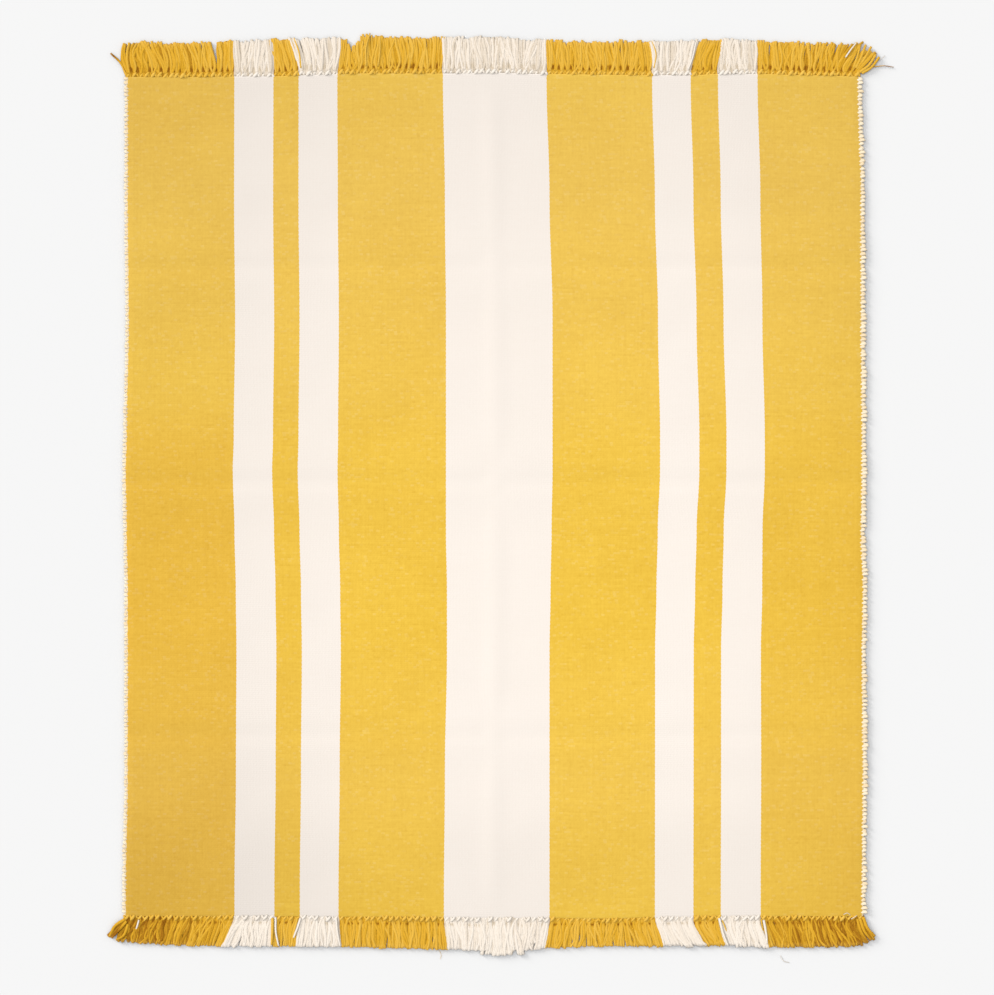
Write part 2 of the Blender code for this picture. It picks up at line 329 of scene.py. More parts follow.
LONE_YARNS = {
    (End.FAR, Yarn.YELLOW): (
        (2.1, 2.6, 126.5, 76, 120.5, 63, 110.5, 53, 1.0),
        (1.5, 5.1, 301, 68, 299, 52, 294, 38, 0.0),
        (1.5, 5.1, 366, 66, 366, 48, 370, 33, 0.0),
        (1.5, 5.1, 378, 66, 380, 50, 380, 36, 0.0),
        (1.2, 5.0, 654, 68, 656, 54, 652, 41, 0.0),
        (3.0, 3.2, 860, 72, 869, 65, 876, 54.5, 0.1),
        (2.9, 2.9, 862, 73, 871.5, 67, 879.5, 57, 0.3),
        (0.8, 1.8, 869, 67.5, 883, 65.5, 894, 66.8, 1.6),
        (2.4, 3.6, 853.5, 68, 857.5, 56, 860.5, 44.5, 0.2),
        (2.6, 3.4, 856, 68, 861.5, 56, 866, 44.5, 0.2),
        (2.6, 3.2, 857.5, 69, 865.5, 57, 871.5, 46.5, 0.2),
    ),
    (End.FAR, Yarn.NATURAL): (
        (1.6, 5.2, 688, 70, 693, 56, 696, 42, 0.0),
        (0.4, 1.2, 878, 60, 882, 58.5, 885.5, 55, 2.4),
        (1.4, 5.7, 845.5, 57.5, 850.5, 50, 856, 43, 0.0),
    ),
    (End.NEAR, Yarn.YELLOW): (
        (2.9, 4.4, 125, 919, 115, 926, 109.5, 936, 0.1),
        (2.6, 5.4, 126.5, 921, 120, 929, 111.5, 938, 1.0),
        (2.6, 5.0, 128, 924, 124, 935, 116, 940, 0.2),
        (2.9, 4.0, 860, 919, 864.5, 931, 871.5, 940, 0.3),
        (2.9, 4.6, 863, 917, 867.5, 928, 875, 936.5, 0.2),
        (2.6, 3.4, 857, 919, 861.5, 932, 868.5, 942.5, 0.4),
        (2.6, 5.6, 272.5, 918, 272.5, 932, 271.5, 945, 0.3),
        (1.4, 5.1, 722, 920, 725, 927, 727, 933, 0.0),
        (1.5, 5.1, 761, 919, 762, 925, 763, 931, 0.0),
        (0.3, 0.5, 438, 949, 441, 955, 440, 960, 0.0),
    ),
    (End.NEAR, Yarn.NATURAL): (
        (1.7, 5.2, 138.8, 920, 137.6, 925, 136, 929.5, 0.0),
        (2.0, 5.4, 275.5, 917, 276, 932, 278.5, 946, 0.0),
        (2.2, 5.5, 300.5, 918, 297, 929, 293.5, 937.5, 0.0),
        (2.2, 5.5, 336, 918, 337.5, 932, 340, 946.5, 0.0),
        (2.4, 5.6, 719, 918, 723, 933, 728, 946, 0.0),
        (2.3, 5.6, 763.5, 920, 766, 933, 767, 944, 0.2),
        # The last column darkens this hair towards its tip: painted shadow of the hair on the floor.
        (0.45, 0.6, 780.5, 956, 784, 961.5, 789.5, 963, 3.0),
        (0.55, 5.8, 843.5, 914.5, 847, 912.8, 850.5, 915, 0.6),
        (0.6, 6.0, 851, 919, 854, 917, 857, 915.5, 0.6),
    ),
}

# Along the rug. The level column is painted shade, darker towards both ends; pale and warm are the dye's own
# changes.
SHADE_AND_FADE_ALONG = tuple(ShadeAndFade(*row) for row in (
    (-700, 0.930, 0.020, 1.0),
    (-603, 0.938, 0.030, 1.0),
    (-470, 0.985, 0.045, 0.8),
    (-338, 0.997, 0.020, 0.8),
    (-206, 1.004, 0.000, 1.0),
    (-74, 1.004, 0.006, 0.9),
    (20, 0.992, 0.010, 0.8),
    (58, 0.990, 0.012, 0.7),
    (190, 0.986, 0.047, 0.0),
    (323, 0.976, 0.068, 0.0),
    (521, 0.940, 0.087, 0.1),
    (700, 0.912, 0.072, 0.4),
))

# Across the rug. The level column is painted shade, darker towards both sides.
SHADE_AND_FADE_ACROSS = tuple(ShadeAndFade(*row) for row in (
    (-610, 0.940, 0.0, 0.80),
    (-450, 0.948, 0.0, 0.80),
    (-360, 0.966, 0.0, 0.15),
    (-180, 0.996, 0.0, 0.05),
    (0, 1.000, 0.0, 0.0),
    (300, 1.004, 0.0, 0.0),
    (520, 0.974, 0.0, 0.30),
    (610, 0.950, 0.0, 0.45),
))

CLOTH_TONES = tuple(Tone(*row) for row in (
    (90.0, 3.4, True, 0.28),
    (14.0, 3.4, True, 0.31),
    (3.2, 3.4, True, 0.23),
    (5.0, 8.0, False, 0.30),
    (4.2, 200.0, False, 0.20),
    (200.0, 160.0, False, 0.35),
))


@dataclass(frozen=True)
class FringeLayer:
    """One of the fringe's two layers of yarns.

    The root is how far out from the heading its yarns start. The spread is how far each point of a yarn keeps
    from its knot's middle, as a share of the room it has, and the heights are those of the same points. The
    leans, the shares of the reach and the tones say how much a yarn's own draw and its knot's draw change it.
    The root shade is painted shade, which darkens the yarns in the hollows just outside the knots.
    """

    radius: float
    root: float
    shorter: float
    loose: float
    spread: tuple[float, ...]
    heights_mm: tuple[float, ...]
    gather_jitter: float
    own_lean_deg: float
    clump_lean_deg: float
    steady_at_borders: bool
    own_reach: float
    clump_reach: float
    tone: float
    root_shade: float
    root_shade_jitter: float


LOWER_LAYER = FringeLayer(
    radius=2.5 * MM,
    root=-8.0 * MM,
    shorter=1.2 * MM,
    loose=0.2,
    spread=(1.0, 1.0, 1.0, 1.0, 1.0),
    heights_mm=(1.8, 2.1, 2.3, 2.2, 2.0),
    gather_jitter=0.0,
    own_lean_deg=2.4,
    clump_lean_deg=0.0,
    steady_at_borders=False,
    own_reach=0.6,
    clump_reach=0.0,
    # Deeper than the upper layer's tone: painted shade for the yarns that lie underneath.
    tone=0.4,
    root_shade=1.15,
    root_shade_jitter=0.35,
)
UPPER_LAYER = FringeLayer(
    radius=2.6 * MM,
    root=-3.4 * MM,
    shorter=0.0,
    loose=1.0,
    spread=(0.22, 0.7, 1.0, 1.08, 1.08),
    heights_mm=(2.2, 2.7, 2.7, 2.6, 2.4),
    gather_jitter=0.5,
    own_lean_deg=8.0,
    clump_lean_deg=6.5,
    steady_at_borders=True,
    own_reach=0.7,
    clump_reach=0.4,
    tone=0.25,
    root_shade=0.06,
    root_shade_jitter=0.0,
)


def eased(share: float) -> float:
    """A share from 0 to 1 with a soft start and end."""
    held = min(max(share, 0.0), 1.0)
    return 0.5 - 0.5 * math.cos(math.pi * held)


def read_table(rows: Sequence[NamedTuple], column: str, place: float) -> float:
    """Reads a column at a place, eased from each row to the next and level past the last rows.

    Args:
        rows: A table whose rows rise by place_mm.
        column: The name of the column.
        place: The place, in metres.

    Returns:
        The column's value there, in the table's own unit.
    """
    place_mm = place / MM
    if place_mm <= rows[0].place_mm:
        return getattr(rows[0], column)
    for low, high in zip(rows, rows[1:]):
        if place_mm <= high.place_mm:
            share = eased((place_mm - low.place_mm) / (high.place_mm - low.place_mm))
            return getattr(low, column) * (1 - share) + getattr(high, column) * share
    return getattr(rows[-1], column)


def between(places: Sequence[float], values: Sequence[float], place: float) -> float:
    """Reads a straight-line value.

    Args:
        places: Rising places.
        values: The value at each place.
        place: Where to read, held within the places.

    Returns:
        The value on the straight line between the two nearest places.
    """
    place = min(max(place, places[0]), places[-1])
    for index in range(1, len(places)):
        if place <= places[index]:
            share = (place - places[index - 1]) / (places[index] - places[index - 1])
            return values[index - 1] * (1 - share) + values[index] * share
    return values[-1]


@dataclass(frozen=True)
class RugLayout:
    """Where things lie on the rug: its stripes, ends, creases and the drift of its weave."""

    nominal_edge: float = 700.0 * MM
    heading_width: float = 8.0 * MM
    piece_gap: float = 0.3 * MM
    spine_height: float = 0.7 * MM
    spine_half_width: float = 26.0 * MM
    spine_fade: float = 70.0 * MM

    @property
    def width(self) -> float:
        """The woven width."""
        return sum(stripe.width_mm for stripe in STRIPES) * MM

    @property
    def field_half_length(self) -> float:
        """Half the nominal length of the cloth between the headings."""
        return self.nominal_edge - self.heading_width - self.piece_gap

    @lru_cache(maxsize=None)
    def edges(self) -> tuple[float, ...]:
        """Where each stripe starts, and the last one ends, across the rug."""
        places = [-self.width / 2]
        for stripe in STRIPES:
            places.append(places[-1] + stripe.width_mm * MM)
        return tuple(places)

    @lru_cache(maxsize=None)
    def drift_places(self) -> tuple[float, ...]:
        """The places across the rug that the drift table's columns stand for."""
        edges = self.edges()
        narrow_left = (edges[2] + edges[3]) / 2
        narrow_right = (edges[8] + edges[9]) / 2
        return (edges[0], narrow_left, edges[5], edges[6], narrow_right, edges[-1])

    @lru_cache(maxsize=None)
    def drift_row(self, along: float) -> tuple[float, ...]:
        """The drift at each of those places, at one place along the rug."""
        return tuple(read_table(DRIFT, column, along) * MM for column in Drift._fields[1:])

    def drift(self, across: float, along: float) -> float:
        """How far the weave has wandered towards +X at a place in the rug."""
        return between(self.drift_places(), self.drift_row(along), across)

    @lru_cache(maxsize=None)
    def heading_edge(self, end: End, across: float) -> float:
        """How far out from the middle an end's heading stops."""
        return read_table(END_TABLES[end], "edge_mm", across) * MM

    def lift(self, across: float, along: float) -> float:
        """How far the creases raise the cloth off the floor.

        Args:
            across: The place across the rug.
            along: The place along it.

        Returns:
            The rise of the highest swell there.
        """
        from_end = max(self.field_half_length - abs(along), 0.0)
        spine = self.spine_height * min(1.0, from_end / self.spine_fade)
        spine *= eased(1.0 - abs(across) / self.spine_half_width)
        return max([spine] + [self.swell(crease, across, along) for crease in CREASES])

    def swell(self, crease: Crease, across: float, along: float) -> float:
        """The rise of the cloth beside a crease."""
        heights = (crease.left_mm, crease.centre_mm, crease.right_mm)
        height = between((-self.width / 2, 0.0, self.width / 2), heights, across) * MM
        distance = abs(along / MM - crease.place_mm)
        if distance <= crease.shoulder_mm:
            return height * eased(distance / crease.shoulder_mm)
        return height * eased(1.0 - (distance - crease.shoulder_mm) / crease.fade_mm)

    @lru_cache(maxsize=None)
    def knots(self) -> tuple[Knot, ...]:
        """The heading's knots, from left to right."""
        found = []
        for stripe, left in zip(STRIPES, self.edges()):
            pitch = stripe.width_mm * MM / stripe.knots
            for number in range(stripe.knots):
                knot_left = left + number * pitch
                at_border = number in (0, stripe.knots - 1)
                found.append(Knot(knot_left, knot_left + pitch, stripe.yarn, at_border))
        return tuple(found)


def linear(code: str) -> tuple[float, float, float, float]:
    """Turns an sRGB hex colour to the linear one that shaders use.

    Args:
        code: Six hex digits.

    Returns:
        Red, green, blue and an alpha of one.
    """
    channels = [int(code[i : i + 2], 16) / 255 for i in (0, 2, 4)]
    lifted = [c / 12.92 if c <= 0.04045 else ((c + 0.055) / 1.055) ** 2.4 for c in channels]
    return (*lifted, 1.0)


def fill(node: Node, inputs: dict[int | str, object]) -> None:
    """Links each named or numbered input of a node to an output socket, or sets it to a value."""
    for socket, source in inputs.items():
        if isinstance(source, Socket):
            node.id_data.links.new(source, node.inputs[socket])
        else:
            node.inputs[socket].default_value = source


def add_node(
    tree: bpy.types.NodeTree,
    kind: str,
    inputs: dict[int | str, object] | None = None,
    output: int | str = 0,
    **settings: object,
) -> Socket:
    """Adds a node with its settings and fills or links its inputs.

    Args:
        tree: The material's node tree.
        kind: The node's type name, after ShaderNode.
        inputs: A value or an output socket for each named or numbered input. A Mix node's colours are
            6 and 7.
        output: The name or number of the output that is wanted. A Mix node's colour is 2.
        settings: The node's own properties.

    Returns:
        The wanted output socket.
    """
    node = tree.nodes.new(f"ShaderNode{kind}")
    for name, value in settings.items():
        setattr(node, name, value)
    fill(node, inputs or {})
    return node.outputs[output]


def open_material(name: str) -> tuple[Material, Node, AddNode]:
    """Starts a material, and gives it with its shader and the function that adds nodes to it."""
    material = bpy.data.materials.new(name)
    material.use_nodes = True
    tree = material.node_tree
    return material, tree.nodes["Principled BSDF"], partial(add_node, tree)


@dataclass(frozen=True)
class StripedCloth:
    """Hand-woven cotton, plain weave, dull and faintly fuzzy.

    The eye gets fine level ribs of weave, short level dashes and small pale flecks where a pick or the undyed
    weft shows through, and broad soft changes of tone: painted shade that leaves it brightest along the
    middle and darker towards the ends, the sides and the lower left corner, and a dye that turns paler and
    warmer in places.
    A fleck gives the chance at which it starts or ends, and how strong it is at most.
    """

    layout: RugLayout
    name: str = "woven cotton cloth"
    yellow: str = "EFC64B"
    yellow_deep: str = "D3A52B"
    yellow_pale: str = "F0D2B4"
    natural: str = "F0E7DE"
    natural_deep: str = "E6D9CB"
    warm_tint: str = "FAF1F6"
    weft: str = "F6DFA0"
    selvedge: str = "EFD9AE"
    selvedge_mm: float = 2.8
    warp_pitch_mm: float = 2.4  # a little coarser than the real 2 mm, so that the ribs show
    pick_pitch_mm: float = 3.35
    wander_mm: tuple[float, float] = (3.0, 5.0)
    wanders_per_metre: float = 30.0
    tooth_mm: float = 0.6
    fleck_warps: float = 2.3
    fleck_stagger: float = 0.37
    light_fleck: tuple[float, float] = (0.84, 0.14)
    dark_fleck: tuple[float, float] = (0.1, 0.12)
    usual_depth: float = 0.35
    pick_stride: float = 7.3
    grain_stride: float = 3.7
    natural_contrast: float = 0.3
    under_height: float = 0.45
    pick_height: float = 0.7
    bump_mm: float = 0.5
    bump_strength: float = 0.13
    # Painted shade that darkens the cloth round its lower left corner.
    painted_shade_corner: tuple[float, float, float] = (-640.0 * MM, -740.0 * MM, 0.0)
    painted_shade_corner_radius: float = 0.46
    painted_shade_corner_level: float = 0.885
    roughness: float = 0.92
    specular: float = 0.1
    sheen: float = 0.05

    def make(self) -> Material:
        """Builds the material. It reads the cloth's own UV map, which is in metres across and along."""
        material, shader, add = open_material(self.name)
        weave = add("UVMap", uv_map=WovenField.uv_name)
        across, along, _ = add("SeparateXYZ", {0: weave}).node.outputs
        warp, pick = self.threads(add, weave)
        painted_shade_along, paleness, warm_along = self.shade_and_fade(add, along, SHADE_AND_FADE_ALONG)
        painted_shade_across, _, warm_across = self.shade_and_fade(add, across, SHADE_AND_FADE_ACROSS)

        chance = self.cell_chance(add, warp, pick)
        light_from, light_most = self.light_fleck
        dark_to, dark_most = self.dark_fleck
        light = add("MapRange", {0: chance, 1: light_from, 2: 1.0, 3: 0.0, 4: light_most})
        dark = add("MapRange", {0: chance, 1: 0.0, 2: dark_to, 3: dark_most, 4: 0.0})
        deep = add("Math", {0: self.depth(add, weave, pick), 1: dark}, operation="ADD")
        dyes = {0: deep, 6: linear(self.yellow), 7: linear(self.yellow_deep)}
        dyed = add("Mix", dyes, 2, data_type="RGBA")
        flecked = add("Mix", {0: light, 6: dyed, 7: linear(self.weft)}, 2, data_type="RGBA")
        pale = add("Mix", {0: paleness, 6: flecked, 7: linear(self.yellow_pale)}, 2, data_type="RGBA")
        warmth = add("Math", {0: warm_along, 1: warm_across}, operation="MULTIPLY")
        tints = {0: warmth, 6: pale, 7: linear(self.warm_tint)}
        warmed = add("Mix", tints, 2, data_type="RGBA", blend_type="MULTIPLY")
        quiet = add("Math", {0: deep, 1: self.natural_contrast}, operation="MULTIPLY")
        undyed_tones = {0: quiet, 6: linear(self.natural), 7: linear(self.natural_deep)}
        undyed = add("Mix", undyed_tones, 2, data_type="RGBA")
        is_natural = self.natural_mask(add, across, pick)
        striped = add("Mix", {0: is_natural, 6: warmed, 7: undyed}, 2, data_type="RGBA")
        at_selvedge = self.selvedge_mask(add, across, pick)
        edged = add("Mix", {0: at_selvedge, 6: striped, 7: linear(self.selvedge)}, 2, data_type="RGBA")

        # Painted shade: the colour is scaled down towards the ends, the sides and the lower left corner.
        level = add("Math", {0: painted_shade_along, 1: painted_shade_across}, operation="MULTIPLY")
        from_corner = add("VectorMath", {0: weave, 1: self.painted_shade_corner}, "Value", operation="DISTANCE")
        fading = {0: from_corner, 1: 0.0, 2: self.painted_shade_corner_radius, 3: self.painted_shade_corner_level, 4: 1.0}
        level = add("Math", {0: level, 1: add("MapRange", fading)}, operation="MULTIPLY")
        painted_shade_colour = add("VectorMath", {0: edged, "Scale": level}, operation="SCALE")
        height = self.thread_height(add, warp, pick)
        relief = {"Height": height, "Strength": self.bump_strength, "Distance": self.bump_mm * MM}
        fill(shader, {"Base Color": painted_shade_colour, "Normal": add("Bump", relief), "Roughness": self.roughness})
        fill(shader, {"Sheen Weight": self.sheen, "Specular IOR Level": self.specular})
        return material

    def threads(self, add: AddNode, weave: Socket) -> tuple[Socket, Socket]:
        """Counts warps across and picks along, both wandering a little."""
        wander = add("TexNoise", {"Vector": weave, "Scale": self.wanders_per_metre, "Detail": 2.0}, "Color")
        amount = (self.wander_mm[0] * MM, self.wander_mm[1] * MM, 0.0)
        wandered = add("VectorMath", {0: wander, 1: amount, 2: weave}, operation="MULTIPLY_ADD")
        per_metre = (1 / (self.warp_pitch_mm * MM), 1 / (self.pick_pitch_mm * MM), 0.0)
        counted = add("VectorMath", {0: wandered, 1: per_metre}, operation="MULTIPLY")
        warp, pick, _ = add("SeparateXYZ", {0: counted}).node.outputs
        return warp, pick

    def depth(self, add: AddNode, weave: Socket, pick: Socket) -> Socket:
        """Adds up the grains of the colour.

        Args:
            add: Adds a node to the material.
            weave: The place in the weave, in metres.
            pick: The count of picks. A grain that keeps to single picks jumps far from each to the next.

        Returns:
            How deep the tone is, about a third on the whole.
        """
        across = add("SeparateXYZ", {0: weave})
        pick_row = add("Math", {0: pick}, operation="FLOOR")
        stride = self.pick_pitch_mm * MM * self.pick_stride
        row_place = add("Math", {0: pick_row, 1: stride}, operation="MULTIPLY")
        row_weave = add("CombineXYZ", {0: across, 1: row_place})
        total = self.usual_depth
        for number, grain in enumerate(CLOTH_TONES):
            sizes = (1 / (grain.across_mm * MM), 1 / (grain.along_mm * MM), 1.0)
            shift = (0.0, 0.0, self.grain_stride * number)
            source = row_weave if grain.by_pick else weave
            place = add("Mapping", {"Vector": source, "Scale": sizes, "Location": shift})
            cloud = add("TexNoise", {"Vector": place, "Scale": 1.0, "Detail": 1.0})
            centred = add("Math", {0: cloud, 1: 0.5}, operation="SUBTRACT")
            total = add("Math", {0: centred, 1: grain.strength, 2: total}, operation="MULTIPLY_ADD")
        return total

    def cell_chance(self, add: AddNode, warp: Socket, pick: Socket) -> Socket:
        """Draws one chance for every short float of a pick over a few warps."""
        row = add("Math", {0: pick}, operation="FLOOR")
        staggered = add("Math", {0: row, 1: self.fleck_stagger, 2: warp}, operation="MULTIPLY_ADD")
        grouped = add("Math", {0: staggered, 1: self.fleck_warps}, operation="DIVIDE")
        column = add("Math", {0: grouped}, operation="FLOOR")
        cell = add("CombineXYZ", {0: column, 1: row})
        return add("TexWhiteNoise", {0: cell}, noise_dimensions="3D")

    def thread_height(self, add: AddNode, warp: Socket, pick: Socket) -> Socket:
        """Shapes the plain weave: each warp goes over every other pick, its neighbours over the rest."""
        ribs = []
        for count in (warp, pick):
            turned = add("Math", {0: count, 1: math.pi}, operation="MULTIPLY")
            sine = add("Math", {0: turned}, operation="SINE")
            ribs.append(add("Math", {0: sine}, operation="ABSOLUTE"))
        parity = add("Math", {0: warp}, operation="FLOOR")
        phase = add("Math", {0: pick, 1: parity}, operation="ADD")
        turned = add("Math", {0: phase, 1: math.pi}, operation="MULTIPLY")
        over = add("Math", {0: turned}, operation="COSINE")
        crown = add("MapRange", {0: over, 1: -1.0, 2: 1.0, 3: self.under_height, 4: 1.0})
        thread = add("Math", {0: ribs[0], 1: crown}, operation="MULTIPLY")
        return add("Math", {0: ribs[1], 1: self.pick_height, 2: thread}, operation="MULTIPLY_ADD")

    def natural_mask(self, add: AddNode, across: Socket, pick: Socket) -> Socket:
        """Tells the undyed stripes from the yellow ones.

        Args:
            add: Adds a node to the material.
            across: The place across the rug, in metres.
            pick: The count of picks, which pull the border warps to and fro in a small saw-tooth.

        Returns:
            One in an undyed stripe and nought elsewhere.
        """
        tooth = add("Math", {0: pick, 1: 1.0}, operation="PINGPONG")
        centred = add("Math", {0: tooth, 1: 0.5}, operation="SUBTRACT")
        toothed = add("Math", {0: centred, 1: self.tooth_mm * MM, 2: across}, operation="MULTIPLY_ADD")
        total = 0.0
        for stripe, left in zip(STRIPES, self.layout.edges()):
            if stripe.yarn is Yarn.NATURAL:
                half = stripe.width_mm * MM / 2
                inside = add("Math", {0: toothed, 1: left + half, 2: half}, operation="COMPARE")
                total = add("Math", {0: total, 1: inside}, operation="ADD")
        return total

    def selvedge_mask(self, add: AddNode, across: Socket, pick: Socket) -> Socket:
        """Tells the undyed weft at the selvedges, where it turns back in soft waves, from the rest."""
        wave = add("Math", {0: pick}, operation="SINE")
        place = add("Math", {0: wave, 1: self.tooth_mm * MM, 2: across}, operation="MULTIPLY_ADD")
        from_middle = add("Math", {0: place}, operation="ABSOLUTE")
        inner = self.layout.width / 2 - self.selvedge_mm * MM
        return add("Math", {0: from_middle, 1: inner}, operation="GREATER_THAN")

    def shade_and_fade(self, add: AddNode, place: Socket, rows: Sequence[ShadeAndFade]) -> Sequence[Socket]:
        """Turns a table of painted shade and dye changes to a ramp.

        Args:
            add: Adds a node to the material.
            place: The place along or across the rug, in metres.
            rows: The table, from low places to high ones.

        Returns:
            The level of painted shade there, how pale the dye is and how warm it is.
        """
        low, high = rows[0].place_mm, rows[-1].place_mm
        share = add("MapRange", {0: place, 1: low * MM, 2: high * MM})
        colours = add("ValToRGB", {0: share})
        ramp = colours.node.color_ramp
        ramp.interpolation = "EASE"
        for row in rows[1:-1]:
            ramp.elements.new((row.place_mm - low) / (high - low))
        for stop, row in zip(ramp.elements, rows):
            stop.color = (row.level, row.pale, row.warm, 1.0)
        return add("SeparateColor", {0: colours}).node.outputs


@dataclass(frozen=True)
class LooseYarn:
    """Plied cotton yarn outside the weave, dull with a soft nap.

    The eye gets fine fibres along each ply, a tone that differs from yarn to yarn, painted shade that deepens
    it at the root, under its neighbours and in the lower layer, and slightly paler tips where the cut ends
    have opened.
    The fuzz evens out the light over each yarn's round by the share that nap gives.
    """

    name: str
    body: str
    deep: str
    hollow_shade: str
    tip: str
    nap: float
    deep_at: float = 0.6
    tip_from: float = 0.85
    tip_paleness: float = 0.2
    tufts_per_metre: float = 700.0  # tufts of 1.4 mm, since single fibres of 0.02 mm would not show
    grain_strength: float = 0.4
    bump_mm: float = 0.4
    bump_strength: float = 0.2
    roughness: float = 0.95
    specular: float = 0.1

    def make(self) -> Material:
        """Builds the material. It reads Object coordinates and the yarns' own shade and share attributes."""
        material, shader, add = open_material(self.name)
        place = add("TexCoord", output="Object")
        tufts = add("TexNoise", {"Vector": place, "Scale": self.tufts_per_metre, "Detail": 2.0})
        shade = add("Attribute", output="Fac", attribute_name=YarnSpinner.shade_name)
        share = add("Attribute", output="Fac", attribute_name=YarnSpinner.share_name)
        grain = add("Math", {0: tufts, 1: 0.5}, operation="SUBTRACT")
        grained = {0: grain, 1: self.grain_strength, 2: shade}
        depth = add("Math", grained, operation="MULTIPLY_ADD", use_clamp=True)
        tone = add("ValToRGB", {0: depth})
        # The ramp runs from the yarn's own tone to its deepest colour, which painted shade reaches at the
        # roots and under neighbours.
        ramp = tone.node.color_ramp
        ramp.elements.new(self.deep_at)
        for stop, colour in zip(ramp.elements, (self.body, self.deep, self.hollow_shade)):
            stop.color = linear(colour)
        opened = add("MapRange", {0: share, 1: self.tip_from, 2: 1.0, 3: 0.0, 4: self.tip_paleness})
        tipped = add("Mix", {0: opened, 6: tone, 7: linear(self.tip)}, 2, data_type="RGBA")
        relief = {"Height": tufts, "Strength": self.bump_strength, "Distance": self.bump_mm * MM}
        facing = {0: self.nap, 4: add("Bump", relief), 5: (0.0, 0.0, 1.0)}
        fuzzed = add("Mix", facing, 1, data_type="VECTOR")
        normal = add("VectorMath", {0: fuzzed}, operation="NORMALIZE")
        fill(shader, {"Base Color": tipped, "Normal": normal})
        fill(shader, {"Roughness": self.roughness, "Specular IOR Level": self.specular})
        return material


@dataclass(frozen=True)
class PaleFloor:
    """Painted board, matt and pale: even and without gloss."""

    name: str = "painted board floor"
    colour: str = "E8E8E8"
    roughness: float = 0.95

    def make(self) -> Material:
        """Builds the material."""
        material, shader, _ = open_material(self.name)
        flat = {"Base Color": linear(self.colour), "Roughness": self.roughness, "Specular IOR Level": 0.0}
        fill(shader, flat)
        return material


def add_object(name: str, bm: Mesh, material: Material, smooth: bool = True) -> bpy.types.Object:
    """Makes the object of a finished mesh.

    Args:
        name: The piece's name.
        bm: Its mesh, which is freed.
        material: Its finish.
        smooth: Whether its faces shade smooth.

    Returns:
        The new object, at the origin.
    """
    bmesh.ops.recalc_face_normals(bm, faces=bm.faces[:])
    mesh = bpy.data.meshes.new(name)
    bm.to_mesh(mesh)
    bm.free()
    if smooth:
        mesh.shade_smooth()
    mesh.materials.append(material)
    made = bpy.data.objects.new(name, mesh)
    bpy.context.scene.collection.objects.link(made)
    return made


@dataclass
class YarnSpinner:
    """Lays lengths of plied yarn along routes. Each length is a tube of a lobed, slowly turning section."""

    shade_name: ClassVar[str] = "shade"
    share_name: ClassVar[str] = "share"
    plies: ClassVar[int] = 3
    sides: int = 6
    steps: int = 12
    ply_depth: float = 0.12
    ply_lay: float = 14.0 * MM  # from one ply to the next along the yarn's side
    flatness: float = 0.66
    upright: float = 1e-4
    mesh: bpy.types.Mesh = field(init=False)
    places: list[tuple[int, float, float]] = field(init=False)

    def __post_init__(self) -> None:
        """Makes the straight length that every yarn is a copy of."""
        bm = bmesh.new()
        bmesh.ops.create_cone(bm, segments=self.sides, radius1=1.0, radius2=1.0, depth=1.0, cap_ends=True)
        long_edges = [edge for edge in bm.edges if abs(edge.verts[0].co.z - edge.verts[1].co.z) > 0.5]
        bmesh.ops.subdivide_edges(bm, edges=long_edges, cuts=self.steps - 1)
        bm.verts.index_update()
        self.mesh = bpy.data.meshes.new(f"yarn of {self.steps} steps")
        bm.to_mesh(self.mesh)
        self.places = []
        for vert in bm.verts:
            angle = math.atan2(vert.co.y, vert.co.x)
            lobe = 1.0 - self.ply_depth * (round(angle / (2 * math.pi) * self.sides) % 2)
            self.places.append((round((vert.co.z + 0.5) * self.steps), angle, lobe))
        bm.free()

    def lay(
        self,
        bm: Mesh,
        route: Sequence[Vector],
        radius: Callable[[float], float],
        shade: Callable[[float], float],
    ) -> None:
        """Adds one length of yarn to a mesh.

        Args:
            bm: The mesh.
            route: The points that the yarn's middle passes through, evenly spread by share of its length.
            radius: The yarn's radius at a share of its length.
            shade: How deep the yarn's colour is at a share of its length, from 0 to 1.
        """
        start = len(bm.verts)
        bm.from_mesh(self.mesh)
        layers = bm.verts.layers.float
        shade_layer = layers.get(self.shade_name) or layers.new(self.shade_name)
        share_layer = layers.get(self.share_name) or layers.new(self.share_name)
        bm.verts.ensure_lookup_table()
        stations = [spline_point(route, step / self.steps) for step in range(self.steps + 1)]
        length = sum((b - a).length for a, b in zip(stations, stations[1:]))
        turn = 2 * math.pi / self.plies * length / self.ply_lay
        frames = []
        for step, station in enumerate(stations):
            ahead = stations[min(step + 1, self.steps)] - stations[max(step - 1, 0)]
            forward = ahead.normalized()
            sideways = forward.cross(Vector((0.0, 0.0, 1.0)))
            if sideways.length < self.upright:
                sideways = Vector((1.0, 0.0, 0.0))
            sideways.normalize()
            frames.append((station, sideways, sideways.cross(forward)))
        for index, (step, angle, lobe) in enumerate(self.places):
            vert = bm.verts[start + index]
            share = step / self.steps
            station, sideways, upwards = frames[step]
            turned = angle + turn * share
            size = radius(share) * lobe
            rise = math.sin(turned) * size * self.flatness
            vert.co = station + sideways * (math.cos(turned) * size) + upwards * rise
            vert[shade_layer] = min(max(shade(share), 0.0), 1.0)
            vert[share_layer] = share


